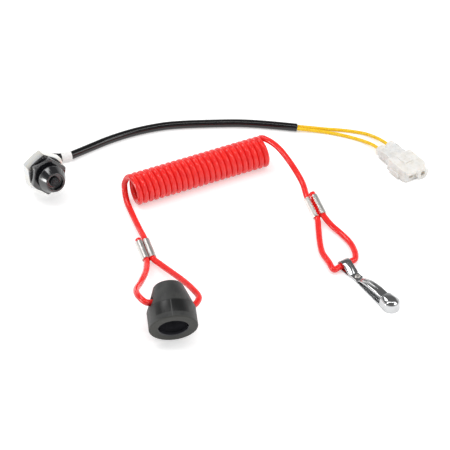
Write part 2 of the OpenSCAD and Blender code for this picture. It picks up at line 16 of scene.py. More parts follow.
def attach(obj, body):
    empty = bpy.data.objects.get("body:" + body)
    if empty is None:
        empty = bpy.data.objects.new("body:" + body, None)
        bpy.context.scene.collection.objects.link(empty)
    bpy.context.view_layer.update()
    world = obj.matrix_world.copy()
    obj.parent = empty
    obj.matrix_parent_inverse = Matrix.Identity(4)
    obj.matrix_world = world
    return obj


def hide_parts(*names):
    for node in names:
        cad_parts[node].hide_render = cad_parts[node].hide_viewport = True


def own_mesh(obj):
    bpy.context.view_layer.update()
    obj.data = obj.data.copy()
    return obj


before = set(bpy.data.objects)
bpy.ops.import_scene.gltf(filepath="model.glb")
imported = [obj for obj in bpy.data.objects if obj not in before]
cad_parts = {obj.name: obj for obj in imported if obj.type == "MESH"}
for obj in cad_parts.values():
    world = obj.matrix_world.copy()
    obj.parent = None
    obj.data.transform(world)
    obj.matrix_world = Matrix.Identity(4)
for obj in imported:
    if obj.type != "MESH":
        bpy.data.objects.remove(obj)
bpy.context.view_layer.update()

# %% [markdown]
# The photograph shows the table from above at 40 degrees with a long lens, so all sizes keep their
# proportion from near to far. The lens is worked out from how many pixels a millimetre fills.

# %% Camera
MM = 0.001
TABLE_SHIFT = Vector((12.4, 32, 0)) * MM
PHOTO_PX = 450
SENSOR_MM = 36
FOCAL_PX = 1949
CAMERA_UP = math.radians(40)
CAMERA_AWAY = 1.263

camera_data = bpy.data.cameras.new("camera")
camera_data.sensor_fit = "HORIZONTAL"
camera_data.sensor_width = SENSOR_MM
camera_data.lens = SENSOR_MM * FOCAL_PX / PHOTO_PX
camera = bpy.data.objects.new("camera", camera_data)
bpy.context.scene.collection.objects.link(camera)
back_to_camera = Vector((0, -math.cos(CAMERA_UP), math.sin(CAMERA_UP)))
camera.location = TABLE_SHIFT + CAMERA_AWAY * back_to_camera
camera.rotation_euler = back_to_camera.to_track_quat("Z", "Y").to_euler()
bpy.context.scene.camera = camera
bpy.context.scene.view_settings.view_transform = "Standard"
print("lens", round(camera_data.lens, 1), "mm")

# %% [markdown]
# Every group lies on the table by a place, a yaw and a tilt. These are the part's own values, so a
# piece modelled upright about its own Z axis drops onto its CAD part with one matrix.


# %% Where each group lies
def turn(angle, axis):
    return Matrix.Rotation(math.radians(angle), 4, axis)


def table_place(x, y, z=0):
    return Matrix.Translation(TABLE_SHIFT + Vector((x, y, z)) * MM)


NUT_AF, NUT_T, SEAL_T, SWITCH_TILT = 24, 10, 1.5, 15
nut_corner = NUT_AF / 2 / math.cos(math.radians(30))
nut_chamfer = (nut_corner - NUT_AF / 2) * math.tan(math.radians(30))
switch_up = nut_corner * math.cos(math.radians(SWITCH_TILT)) + (
    SEAL_T + NUT_T - nut_chamfer
) * math.sin(math.radians(SWITCH_TILT))
CAP_LEN, CAP_SKIRT_R, CAP_EDGE, CAP_TILT = 29, 15, 0.8, 19
cap_up = (
    (CAP_SKIRT_R - CAP_EDGE) * math.cos(math.radians(CAP_TILT))
    - CAP_EDGE * math.sin(math.radians(CAP_TILT))
    + CAP_EDGE
)
at_switch = table_place(-116.6, 32.4, switch_up) @ turn(26, "Z") @ turn(90 - SWITCH_TILT, "X")
at_cap = (
    table_place(-30.8, -113.1, cap_up)
    @ turn(8, "Z")
    @ turn(90 + CAP_TILT, "X")
    @ Matrix.Translation((0, 0, -CAP_LEN * MM))
)
at_hook = table_place(75.5, -42.5) @ turn(-54, "Z")
at_connector = table_place(108, 76) @ turn(-56, "Z")
at_crimp = {
    "cap": table_place(-50.2, -30.2, 4.6) @ turn(-71, "Z") @ turn(9, "Y") @ turn(4, "X"),
    "hook": table_place(58.6, 10.4, 6.9) @ turn(-66, "Z") @ turn(19, "Y") @ turn(18, "X"),
}
print("switch axis is", round(switch_up, 2), "mm up, cap mouth", round(cap_up, 2), "mm up")

# %% [markdown]
# ## Finishes
# Each finish starts from what the real surface is. Colours are written as sRGB hex values, as a
# colour picker shows them, and one function turns them to the linear values that shaders use.
# One more function adds a node with its settings and links, so a finish reads as a short list.


# %% Colour and node helpers
def linear(hex_colour):
    channels = [int(hex_colour[i : i + 2], 16) / 255 for i in (1, 3, 5)]
    return (
        *(c / 12.92 if c <= 0.04045 else ((c + 0.055) / 1.055) ** 2.4 for c in channels),
        1,
    )


def add(tree, kind, inputs=None, **settings):
    node = tree.nodes.new(kind)
    for name, value in settings.items():
        setattr(node, name, value)
    for name, value in (inputs or {}).items():
        if isinstance(value, bpy.types.NodeSocket):
            tree.links.new(value, node.inputs[name])
        else:
            node.inputs[name].default_value = value
    return node


def surface(name, hex_colour, roughness, **more):
    """A material with one Principled shader, and the tree, shader and Object coordinates to add to."""
    material = bpy.data.materials.new(name)
    material.use_nodes = True
    material.diffuse_color = linear(hex_colour)
    tree = material.node_tree
    tree.nodes.clear()
    shader = add(
        tree,
        "ShaderNodeBsdfPrincipled",
        {"Base Color": linear(hex_colour), "Roughness": roughness, **more},
    )
    add(tree, "ShaderNodeOutputMaterial", {"Surface": shader.outputs["BSDF"]})
    place = add(tree, "ShaderNodeTexCoord").outputs["Object"]
    return material, tree, shader, place


def speckle(tree, place, size_mm, detail=2.0):
    """Noise whose blotches are about size_mm across."""
    return add(
        tree,
        "ShaderNodeTexNoise",
        {"Vector": place, "Scale": 1 / (size_mm * MM), "Detail": detail},
    ).outputs["Fac"]


def vary(tree, shader, socket, pattern, low, high):
    """The pattern's middle range moves a number or a colour of the shader from low to high."""
    if isinstance(low, str):
        ramp = add(tree, "ShaderNodeValToRGB", {"Fac": pattern})
        dark, light = ramp.color_ramp.elements
        dark.position = 0.35
        dark.color = linear(low)
        light.position = 0.65
        light.color = linear(high)
        tree.links.new(ramp.outputs["Color"], shader.inputs[socket])
    else:
        span = add(
            tree,
            "ShaderNodeMapRange",
            {"Value": pattern, "From Min": 0.3, "From Max": 0.7, "To Min": low, "To Max": high},
        )
        tree.links.new(span.outputs["Result"], shader.inputs[socket])


def relief(tree, shader, pattern, height_mm):
    """Shades the pattern as hills and hollows of this height, too small to be worth faces."""
    bump = add(tree, "ShaderNodeBump", {"Height": pattern, "Distance": height_mm * MM})
    tree.links.new(bump.outputs["Normal"], shader.inputs["Normal"])


def within(tree, value, low_mm, high_mm, soft_mm):
    """1 where a length lies between two limits, falling to 0 over the soft distance outside them."""
    sides = []
    for limit, start, end in ((low_mm, -soft_mm, 0), (high_mm, soft_mm, 0)):
        sides.append(
            add(
                tree,
                "ShaderNodeMapRange",
                {"Value": value, "From Min": (limit + start) * MM, "From Max": (limit + end) * MM},
            ).outputs["Result"]
        )
    return both(tree, *sides)


def both(tree, first, second):
    """1 only where both masks are 1."""
    node = add(tree, "ShaderNodeMath", operation="MULTIPLY")
    tree.links.new(first, node.inputs[0])
    tree.links.new(second, node.inputs[1])
    return node.outputs[0]


def lay_over(tree, shader, mask, changes):
    """Where the mask is 1, the shader's colour or number becomes the one given."""
    for socket, new in changes.items():
        kind = "RGBA" if isinstance(new, tuple) else "FLOAT"
        mix = add(tree, "ShaderNodeMix", data_type=kind)
        factor, old, over = [i for i in mix.inputs if i.enabled]
        tree.links.new(mask, factor)
        below = shader.inputs[socket]
        if below.links:
            tree.links.new(below.links[0].from_socket, old)
        else:
            old.default_value = below.default_value
        over.default_value = new
        tree.links.new([o for o in mix.outputs if o.enabled][0], below)


# %% [markdown]
# **Black plastics.** The switch body is nylon, injection moulded with a polished tool, so it mirrors
# the softboxes sharply. A little orange peel, about a millimetre wide, bends those reflections. Its
# IOR is above the plastic's own 1.53, because the polished head shines nearly like dark metal.
# Every pattern here is noise, because the real surfaces show no regular marks.

# %% Black plastics
black_nylon, tree, shader, place = surface("moulded_nylon", "#141518", 0.12, IOR=1.9)
vary(tree, shader, "Roughness", speckle(tree, place, 2.5), 0.08, 0.2)
relief(tree, shader, speckle(tree, place, 1.4, 1), 0.012)

# The plunger is moulded acetal: waxy, with a softer and wider shine than the body
acetal, tree, shader, place = surface("moulded_acetal", "#1E2023", 0.2, IOR=1.48)
vary(tree, shader, "Roughness", speckle(tree, place, 0.8), 0.14, 0.3)
relief(tree, shader, speckle(tree, place, 0.6, 1), 0.006)

# The rear plug is nylon with glass in it, grey and dry, with flecks of half a millimetre
plug_nylon, tree, shader, place = surface("glass_filled_nylon", "#232427", 0.5, IOR=1.5)
vary(tree, shader, "Base Color", speckle(tree, place, 0.5), "#1E1F22", "#2C2D30")
relief(tree, shader, speckle(tree, place, 0.4, 3), 0.03)

# Extruded vinyl tube: wet looking, with slow waves of 5 mm along the draw
sleeve_vinyl, tree, shader, place = surface("extruded_vinyl", "#0E0E10", 0.1, IOR=1.54)
vary(tree, shader, "Roughness", speckle(tree, place, 5), 0.07, 0.16)
relief(tree, shader, speckle(tree, place, 6, 1), 0.05)
print("black plastics ready")

# %% [markdown]
# **Rubbers.** The cap is matt, with a fine grain and faint cloudy marks. Its mould halves met along
# a fine line on the skirt, and the skirt is smoother round that line.
# Masks in the cap's own frame place the line, a darker and smoother field, the painted shade of a
# step, the olive rim, and the smoother inside with its painted reflection. The grain is drawn as noise
# of 0.35 mm, fine enough to look matt from the camera.

# %% Rubbers
SEAM_ANGLE = 93
HOLLOW_FROM, SKIRT_FROM, SKIRT_TO, RIM_FROM, MOUTH_R = 16.8, 17.2, 25, 28.5, 9.7
cap_rubber, tree, shader, place = surface("moulded_rubber", "#2E2F2F", 0.5, IOR=1.52)
vary(tree, shader, "Base Color", speckle(tree, place, 6, 4), "#2A2B2B", "#383937")
vary(tree, shader, "Roughness", speckle(tree, place, 3, 3), 0.42, 0.6)
relief(tree, shader, speckle(tree, place, 0.35, 3), 0.03)

to_cap = (at_cap @ turn(SEAM_ANGLE, "Z")).inverted()
in_cap = add(
    tree,
    "ShaderNodeMapping",
    {"Vector": place, "Location": to_cap.to_translation(), "Rotation": to_cap.to_euler()},
)
spot = add(tree, "ShaderNodeSeparateXYZ", {"Vector": in_cap.outputs["Vector"]}).outputs
across = add(tree, "ShaderNodeCombineXYZ", {"X": spot["X"], "Y": spot["Y"]}).outputs["Vector"]
radius = add(tree, "ShaderNodeVectorMath", {"Vector": across}, operation="LENGTH").outputs["Value"]
seam_side = within(tree, spot["X"], 0, 2 * CAP_SKIRT_R, 1)

# The skirt is darker and smoother in a field either side of the mould line
polished = both(tree, within(tree, spot["Y"], -10, 9.5, 0.5), seam_side)
polished = both(tree, within(tree, spot["Z"], SKIRT_FROM, SKIRT_TO, 0.2), polished)
lay_over(tree, shader, polished, {"Base Color": linear("#121313"), "Roughness": 0.34})
# Painted shade: a narrow darker band along the field's top edge stands for the shade of a step
painted_step_shade = within(tree, spot["Z"], SKIRT_FROM - 0.5, SKIRT_FROM, 0.3)
lay_over(tree, shader, painted_step_shade, {"Base Color": linear("#151616")})

# The mould line is 0.3 mm wide and rougher than what it crosses
mould_line = both(tree, within(tree, spot["Y"], -0.15, 0.15, 0.2), seam_side)
mould_line = both(tree, within(tree, spot["Z"], SKIRT_FROM, RIM_FROM, 0.3), mould_line)
lay_over(tree, shader, mould_line, {"Base Color": linear("#474847"), "Roughness": 0.6})

# The rim is olive and dull. The inside is smoother, and its lighter grey is a painted reflection
rim = within(tree, spot["Z"], RIM_FROM, CAP_LEN + 1, 0.4)
lay_over(tree, shader, rim, {"Base Color": linear("#363632"), "Roughness": 0.62})
inside = both(
    tree,
    within(tree, radius, -1, MOUTH_R, 0.1),
    within(tree, spot["Z"], HOLLOW_FROM, RIM_FROM + 0.2, 0.3),
)
lay_over(tree, shader, inside, {"Base Color": linear("#36363B"), "Roughness": 0.22})

# The washer's rubber is smooth and shines along its edge
seal_rubber, tree, shader, place = surface("washer_rubber", "#0C0C0E", 0.22, IOR=1.52)
vary(tree, shader, "Roughness", speckle(tree, place, 1.5), 0.15, 0.35)
relief(tree, shader, speckle(tree, place, 1, 2), 0.02)

# The boot's rubber is satin
boot_rubber, tree, shader, place = surface("boot_rubber", "#121214", 0.42, IOR=1.52)
vary(tree, shader, "Roughness", speckle(tree, place, 1.2), 0.35, 0.55)
relief(tree, shader, speckle(tree, place, 0.4, 2), 0.02)
print("rubbers ready")

# %% [markdown]
# **Metals.** Each one is a fully metallic surface, and what sets them apart is how rough it is. A
# relief of a few hundredths of a millimetre breaks up their reflections a little.

# %% Metals
# The nut has bright zinc plating, faintly blue in some patches and yellow in others
zinc_plate, tree, shader, place = surface("zinc_plate", "#D9DAD8", 0.2, Metallic=1.0)
vary(tree, shader, "Base Color", speckle(tree, place, 5, 3), "#D3D6D9", "#DEDBD2")
vary(tree, shader, "Roughness", speckle(tree, place, 0.7, 4), 0.12, 0.3)
relief(tree, shader, speckle(tree, place, 0.5, 3), 0.012)

# The crimps are plated sheet, duller than the nut
crimp_plate, tree, shader, place = surface("tin_plate", "#DCD9D5", 0.42, Metallic=1.0)
vary(tree, shader, "Base Color", speckle(tree, place, 2.5, 3), "#D4D1CC", "#E3E0DC")
vary(tree, shader, "Roughness", speckle(tree, place, 0.5, 4), 0.34, 0.5)
relief(tree, shader, speckle(tree, place, 0.4, 3), 0.02)

# The hook is polished and nickel plated: a mirror with long, shallow waves
nickel, tree, shader, place = surface("polished_nickel", "#C9CACB", 0.07, Metallic=1.0)
vary(tree, shader, "Roughness", speckle(tree, place, 2, 4), 0.05, 0.14)
relief(tree, shader, speckle(tree, place, 4, 1), 0.03)

# The spring is drawn steel wire, grey and even
spring_wire, tree, shader, place = surface("drawn_steel", "#B9BCC0", 0.25, Metallic=1.0)
vary(tree, shader, "Roughness", speckle(tree, place, 0.3, 3), 0.2, 0.35)
relief(tree, shader, speckle(tree, place, 0.2, 2), 0.005)

# Contacts and terminals are brass, a little darker in some patches
brass, tree, shader, place = surface("stamped_brass", "#C9A24B", 0.28, Metallic=1.0)
vary(tree, shader, "Base Color", speckle(tree, place, 1.5, 4), "#BD9340", "#D4AF5A")
vary(tree, shader, "Roughness", speckle(tree, place, 0.5, 3), 0.2, 0.38)
relief(tree, shader, speckle(tree, place, 0.3, 2), 0.008)
print("metals ready")

# %% [markdown]
# **Cords, wires and the connector.** The tether and the connector let light a little way in, which a
# plain colour can't show. Subsurface scattering spreads it under the skin, by about a millimetre in
# the cord and by more in the milky nylon.

# %% Cords, wires, connector and tape
# The tether is extruded polyurethane, saturated and glossy
red_cord, tree, shader, place = surface(
    "extruded_polyurethane",
    "#FA2C28",
    0.12,
    **{"IOR": 1.5, "Subsurface Weight": 0.12, "Subsurface Radius": (1.0, 0.1, 0.08)},
)
shader.inputs["Subsurface Scale"].default_value = 1.2 * MM
vary(tree, shader, "Base Color", speckle(tree, place, 4, 2), "#F62828", "#FF332D")
vary(tree, shader, "Roughness", speckle(tree, place, 1.5, 2), 0.09, 0.16)
relief(tree, shader, speckle(tree, place, 3, 1), 0.02)

# The wires have extruded vinyl insulation with a soft shine
yellow_vinyl, tree, shader, place = surface("wire_vinyl", "#FFD014", 0.25, IOR=1.52)
vary(tree, shader, "Base Color", speckle(tree, place, 3, 2), "#FBC80C", "#FFD61E")
vary(tree, shader, "Roughness", speckle(tree, place, 1, 2), 0.18, 0.32)
relief(tree, shader, speckle(tree, place, 1.5, 1), 0.015)

# The band is matt white tape with a grain of 0.35 mm
white_tape, tree, shader, place = surface("cloth_tape", "#FAFAF8", 0.6, IOR=1.45)
vary(tree, shader, "Base Color", speckle(tree, place, 1, 3), "#F3F3F1", "#FCFCFB")
relief(tree, shader, speckle(tree, place, 0.35, 3), 0.03)

# The connector is undyed nylon, and so milky
natural_nylon, tree, shader, place = surface(
    "natural_nylon",
    "#F0EDE7",
    0.3,
    **{"IOR": 1.53, "Subsurface Weight": 0.6, "Subsurface Radius": (1.0, 0.9, 0.8)},
)
shader.inputs["Subsurface Scale"].default_value = 2.5 * MM
vary(tree, shader, "Base Color", speckle(tree, place, 5, 2), "#EAE6DF", "#F4F2EE")
vary(tree, shader, "Roughness", speckle(tree, place, 2, 2), 0.22, 0.38)
relief(tree, shader, speckle(tree, place, 2, 1), 0.02)
print("cord, wire, tape and connector finishes ready")

# %% [markdown]
# ## Pieces
# A moulded or pressed edge is never quite sharp, and the thin bright line on it is what makes a
# render look real. Turned and moulded round pieces are half outlines with rounded corners, spun
# about their axis. Pressed sheet is a bent surface that gets its thickness afterwards. Plain pieces
# keep the CAD part's form: its triangles are joined into flat faces and its sharp edges rounded.


# %% Piece helpers
MERGE = 2e-6
FLAT, CREASE = math.radians(0.5), math.radians(35)


def put(name, bm, material, body, slot, *nodes):
    """Makes the bmesh an object that rides on its body and stands for its CAD nodes."""
    mesh = bpy.data.meshes.new(name)
    bm.to_mesh(mesh)
    bm.free()
    mesh.shade_smooth()
    mesh.set_sharp_from_angle(angle=CREASE)
    mesh.materials.append(material)
    obj = bpy.data.objects.new(name, mesh)
    bpy.context.scene.collection.objects.link(obj)
    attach(obj, body)
    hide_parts(*nodes)
    print(name, "has", len(mesh.polygons), "faces")
    return obj


def placed(bm, matrix):
    """The shape moved to its place, in its vertices."""
    bmesh.ops.transform(bm, matrix=matrix, verts=bm.verts)
    return bm


def joined(*shells):
    """Several closed shells in one bmesh."""
    whole = bmesh.new()
    for shell in shells:
        scratch = bpy.data.meshes.new("scratch")
        shell.to_mesh(scratch)
        shell.free()
        whole.from_mesh(scratch)
        bpy.data.meshes.remove(scratch)
    return whole


def rounded_edges(bm, edges, edge_mm):
    bmesh.ops.bevel(
        bm, geom=edges, offset=edge_mm * MM, offset_type="OFFSET", affect="EDGES",
        segments=3, profile=0.5, clamp_overlap=True, material=-1,
    )
    return bm


def cad_copy(node):
    """A copy of a CAD part, its loose triangles joined where their corners meet."""
    bm = bmesh.new()
    bm.from_mesh(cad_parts[node].data)
    bmesh.ops.remove_doubles(bm, verts=bm.verts, dist=MERGE)
    return bm


def softened(node, edge_mm):
    """A copy of a CAD part with its flat faces joined and its sharp edges rounded."""
    bm = cad_copy(node)
    bmesh.ops.dissolve_limit(bm, angle_limit=FLAT, verts=bm.verts, edges=bm.edges)
    sharp = [e for e in bm.edges if e.is_manifold and e.calc_face_angle() > math.radians(30)]
    return rounded_edges(bm, sharp, edge_mm)


def rounded_line(*corners, steps=4):
    """Points of a line through (x, y, radius) corners in millimetres, each turned by an arc."""
    line = []
    for i, (x, y, radius) in enumerate(corners):
        spot = Vector((x, y))
        if radius == 0 or i in (0, len(corners) - 1):
            line.append(spot)
            continue
        back = (Vector(corners[i - 1][:2]) - spot).normalized()
        ahead = (Vector(corners[i + 1][:2]) - spot).normalized()
        half = back.angle(ahead) / 2
        middle = spot + (back + ahead).normalized() * radius / math.sin(half)
        start = spot + back * radius / math.tan(half) - middle
        end = spot + ahead * radius / math.tan(half) - middle
        sweep = math.atan2(start.x * end.y - start.y * end.x, start.dot(end))
        line += [middle + Matrix.Rotation(sweep * k / steps, 2) @ start for k in range(steps + 1)]
    return line


def chain(bm, points):
    """An open line of edges through points in millimetres."""
    verts = [bm.verts.new(Vector(p) * MM) for p in points]
    return [bm.edges.new(pair) for pair in zip(verts, verts[1:])]


def spun(line, around=96, closed=False):
    """A half outline of (radius, height) points spun once round the Z axis."""
    bm = bmesh.new()
    chain(bm, [(p.x, 0, p.y) for p in (line + line[:1] if closed else line)])
    bmesh.ops.spin(
        bm, geom=bm.verts[:] + bm.edges[:], cent=(0, 0, 0), axis=(0, 0, 1), angle=math.tau,
        steps=around, use_merge=True,
    )
    bmesh.ops.remove_doubles(bm, verts=bm.verts, dist=MERGE)
    bmesh.ops.recalc_face_normals(bm, faces=bm.faces)
    return bm


def loft(bm, rows):
    """Strips of faces from each line of points to the next."""
    before = None
    for row in rows:
        edges = chain(bm, row)
        if before:
            bmesh.ops.bridge_loops(bm, edges=before + edges)
        before = edges


def pressed(bm, thickness_mm, side, edge_mm, inside):
    """Gives a bent sheet its thickness, outwards (1), inwards (-1) or both ways (0), and soft edges."""
    bmesh.ops.remove_doubles(bm, verts=bm.verts, dist=MERGE)
    bmesh.ops.recalc_face_normals(bm, faces=bm.faces)
    middle = Vector(inside) * MM
    outward = sum((f.calc_center_median() - middle).dot(f.normal) * f.calc_area() for f in bm.faces)
    if outward < 0:
        bmesh.ops.reverse_faces(bm, faces=bm.faces)
    mesh = bpy.data.meshes.new("sheet")
    bm.to_mesh(mesh)
    bm.free()
    obj = bpy.data.objects.new("sheet", mesh)
    bpy.context.scene.collection.objects.link(obj)
    wall = obj.modifiers.new("wall", "SOLIDIFY")
    wall.thickness = thickness_mm * MM
    wall.offset = side
    wall.use_even_offset = True
    edge = obj.modifiers.new("edge", "BEVEL")
    edge.width = edge_mm * MM
    edge.segments = 2
    edge.limit_method = "ANGLE"
    edge.angle_limit = math.radians(50)
    whole = bmesh.new()
    whole.from_object(obj, bpy.context.evaluated_depsgraph_get())
    bpy.data.objects.remove(obj)
    bpy.data.meshes.remove(mesh)
    return whole


# %% [markdown]
# **The switch.** The head is a moulded cone with a deep recess round the plunger, and behind its
# neck a hexagon takes the spanner. The body is one spun outline, the hexagon is extruded from six
# corners, and the thread that shows behind the nut is a small triangle spun up a screw line. The
# plunger is spun too, with a shallow ring and a dimple in its crown.

# %% Switch body and plunger
FLANGE_AF, FLANGE_T, FLANGE_TURN = 21.5, 5, 16.5
NECK_R, HEAD_BASE, HEAD_BASE_R, LAND_LEN = 7.4, 8.5, 9.2, 1.6
FRONT, FRONT_R, RECESS_R, RECESS_FLOOR = 16, 6.5, 5.2, 13
PLUNGER_R, CHAMBER_R, CHAMBER_ROOF, SHANK_R, SHANK_END = 3.3, 5.6, 8.8, 8, -19
THREAD_FROM, THREAD_PITCH, THREAD_DEPTH = -11.6, 1.5, 0.55

body_line = rounded_line(
    (PLUNGER_R + 0.05, CHAMBER_ROOF, 0), (PLUNGER_R + 0.05, RECESS_FLOOR, 0),
    (RECESS_R, RECESS_FLOOR, 0.3), (RECESS_R, FRONT, 0.35), (FRONT_R, FRONT, 0.45),
    (HEAD_BASE_R, HEAD_BASE + LAND_LEN, 0.5), (HEAD_BASE_R, HEAD_BASE, 0.5),
    (NECK_R, HEAD_BASE, 0.25), (NECK_R, 1.5, 0), (SHANK_R, 0.5, 0), (SHANK_R, THREAD_FROM + 0.4, 0),
    (SHANK_R - THREAD_DEPTH, THREAD_FROM, 0), (SHANK_R - THREAD_DEPTH, SHANK_END + 0.7, 0),
    (SHANK_R - 1.1, SHANK_END, 0.1), (CHAMBER_R, SHANK_END, 0.1), (CHAMBER_R, CHAMBER_ROOF, 0),
)


def hexagon_plate(across, low, high, turned, bore, corner_mm, rim_mm):
    """A six-sided plate with a round bore, its corners and the rims of its faces rounded."""
    bm = bmesh.new()
    for segments, radius in ((6, across / 2 / math.cos(math.radians(30))), (64, bore)):
        bmesh.ops.create_circle(bm, segments=segments, radius=radius * MM)
    bmesh.ops.triangle_fill(bm, edges=bm.edges[:], use_beauty=True)
    raised = bmesh.ops.extrude_face_region(bm, geom=bm.faces[:])["geom"]
    upper = [v for v in raised if isinstance(v, bmesh.types.BMVert)]
    bmesh.ops.translate(bm, verts=upper, vec=(0, 0, (high - low) * MM))
    bmesh.ops.recalc_face_normals(bm, faces=bm.faces)
    bmesh.ops.dissolve_limit(bm, angle_limit=FLAT, verts=bm.verts, edges=bm.edges)
    clear_of_bore = (bore + 1) * MM
    outer = [e for e in bm.edges if all(v.co.xy.length > clear_of_bore for v in e.verts)]
    upright = [e for e in outer if abs(e.verts[0].co.z - e.verts[1].co.z) > (high - low) / 2 * MM]
    rounded_edges(bm, upright, corner_mm)
    rims = [
        e
        for e in bm.edges
        if all(v.co.xy.length > clear_of_bore for v in e.verts)
        and e.is_manifold
        and e.calc_face_angle() > math.radians(60)
    ]
    rounded_edges(bm, rims, rim_mm)
    return placed(bm, Matrix.Translation((0, 0, low * MM)) @ turn(turned - 30, "Z"))


def thread_ridge(radius, depth, pitch, low, turns, steps=48):
    """A V-shaped ridge spun up a screw line."""
    bm = bmesh.new()
    half = 0.4 * pitch
    corners = [(radius - depth - 0.05, -half), (radius - 0.05, 0), (radius - depth - 0.05, half)]
    verts = [bm.verts.new(Vector((r, 0, low + z)) * MM) for r, z in corners]
    bm.faces.new(verts)
    bmesh.ops.spin(
        bm, geom=bm.verts[:] + bm.edges[:] + bm.faces[:], cent=(0, 0, 0), axis=(0, 0, 1),
        dvec=(0, 0, pitch * MM / steps), angle=math.tau * turns, steps=turns * steps,
    )
    bmesh.ops.recalc_face_normals(bm, faces=bm.faces)
    return bm


switch_shells = joined(
    spun(body_line, closed=True),
    hexagon_plate(FLANGE_AF, 0, FLANGE_T, FLANGE_TURN, NECK_R - 0.2, 0.6, 0.45),
    thread_ridge(SHANK_R, THREAD_DEPTH, THREAD_PITCH, SHANK_END + 1, 4),
)
put(
    "switch_body_piece", placed(switch_shells, at_switch), black_nylon,
    "root", "black_plastic", "switch_body",
)

CROWN, COLLAR_TOP, COLLAR_BOTTOM, STEM_R, STEM_END = 15.4, 8.5, 6, 1.8, -7.1
plunger_line = rounded_line(
    (0, CROWN - 0.35, 0), (0.7, CROWN - 0.35, 0.2), (1.1, CROWN, 0.2), (1.8, CROWN, 0.12),
    (1.95, CROWN - 0.4, 0.1), (2.2, CROWN - 0.4, 0.1), (2.35, CROWN - 0.05, 0.12),
    (2.75, CROWN - 0.1, 0.3), (PLUNGER_R, CROWN - 0.8, 0.4), (PLUNGER_R, COLLAR_TOP, 0.1),
    (CHAMBER_R - 0.2, COLLAR_TOP, 0.2), (CHAMBER_R - 0.2, COLLAR_BOTTOM, 0.2),
    (STEM_R, COLLAR_BOTTOM, 0.1), (STEM_R, STEM_END, 0.2), (0, STEM_END, 0),
)
put(
    "plunger_piece", placed(spun(plunger_line, 72), at_switch), acetal,
    "button", "plunger_plastic", "plunger",
)

# %% [markdown]
# **The boot** is a short ribbed sleeve that keeps the lead from kinking at the shank's end.

# %% Ribbed boot
BOOT_LEN, BOOT_BORE = 4, 2.85
boot_line = rounded_line(
    (BOOT_BORE, SHANK_END, 0), (4.6, SHANK_END, 0.3), (4.55, SHANK_END - 0.9, 0.25),
    (3.8, SHANK_END - 1.0, 0.1), (3.8, SHANK_END - 1.4, 0.1), (4.25, SHANK_END - 1.5, 0.2),
    (4.15, SHANK_END - 2.3, 0.2), (3.5, SHANK_END - 2.4, 0.1), (3.5, SHANK_END - 2.8, 0.1),
    (3.9, SHANK_END - 2.9, 0.2), (3.7, SHANK_END - BOOT_LEN, 0.3),
    (BOOT_BORE, SHANK_END - BOOT_LEN, 0),
)
put(
    "cable_boot_piece", placed(spun(boot_line, 48, closed=True), at_switch), boot_rubber,
    "root", "boot_rubber", "cable_boot",
)

# %% [markdown]
# **The crimps** are strips of plated sheet folded round two strands of cord, their edges pressed
# down between the strands. The one at the hook has toothed edges with a gap, so the cord shows
# between them as a zigzag.


# %% Crimps
CORD_R, STRAND, CRIMP_HALF = 2, 2.1, 7.5
CRIMP_T, CRIMP_PLAY, LIP_RUN, LIP_DROP = 0.6, 0.1, 0.12, 0.75


def crimp_sheet(seam, tooth):
    """The sheet's outside from seam edge to seam edge, in rows along the crimp."""
    lobe = CORD_R + CRIMP_PLAY + CRIMP_T
    from_angle = math.acos((STRAND - seam / 2 - LIP_RUN) / lobe)
    lip = lobe * math.sin(from_angle)
    lobe_arc = [from_angle + (1.5 * math.pi - from_angle) * i / 20 for i in range(21)]
    half = [Vector((-seam / 2, lip - LIP_DROP))]
    half += [Vector((lobe * math.cos(a) - STRAND, lobe * math.sin(a))) for a in lobe_arc]
    rows = 2 * round(CRIMP_HALF) + 1
    bm = bmesh.new()
    lines = []
    for i in range(rows):
        shift = tooth * (-1) ** i
        x = CRIMP_HALF * (2 * i / (rows - 1) - 1)
        left = [Vector((x, p.x + (shift if k < 2 else 0), p.y)) for k, p in enumerate(half)]
        right = [Vector((x, -p.x + (shift if k < 2 else 0), p.y)) for k, p in enumerate(half)]
        lines.append(left + right[::-1])
    loft(bm, lines)
    return pressed(bm, CRIMP_T, -1, 0.12, (0, 0, 0))


for end, seam, tooth in (("cap", 0.3, 0), ("hook", 2.1, 0.4)):
    sheet = placed(crimp_sheet(seam, tooth), at_crimp[end])
    put(f"crimp_{end}_end_piece", sheet, crimp_plate, "root", "crimp_steel", f"crimp_{end}_end")

# %% [markdown]
# **The snap hook** is pressed from one strip: a flat plate, a rolled eye whose end slopes down and is
# riveted back on the plate, and a domed nose. The plate and eye are one bent strip as wide as the
# real one at each point. The nose is an outline spun half a turn and drawn back towards the gate.

# %% Hook plate, eye and nose
HOOK_T, HOOK_REACH, NOSE_W, NOSE_H, NOSE_LEN, NOSE_EDGE = 1, 51, 11, 7.7, 11, 2.5
NECK_HALF, EYE_HALF, NOSE_FROM_HALF = 2.8, 3.3, 4.8
EYE_UP, EYE_TO, NECK_FROM, NECK_TO = 3.3, 6, 10, 15
LEG_FOOT, STEP_AT = 9.1, 8.9
nose_half = NOSE_W / 2
nose_x, nose_from = HOOK_REACH - nose_half, HOOK_REACH - NOSE_LEN
plate_mid = HOOK_T / 2
leg_foot_up = HOOK_T + HOOK_T / 2

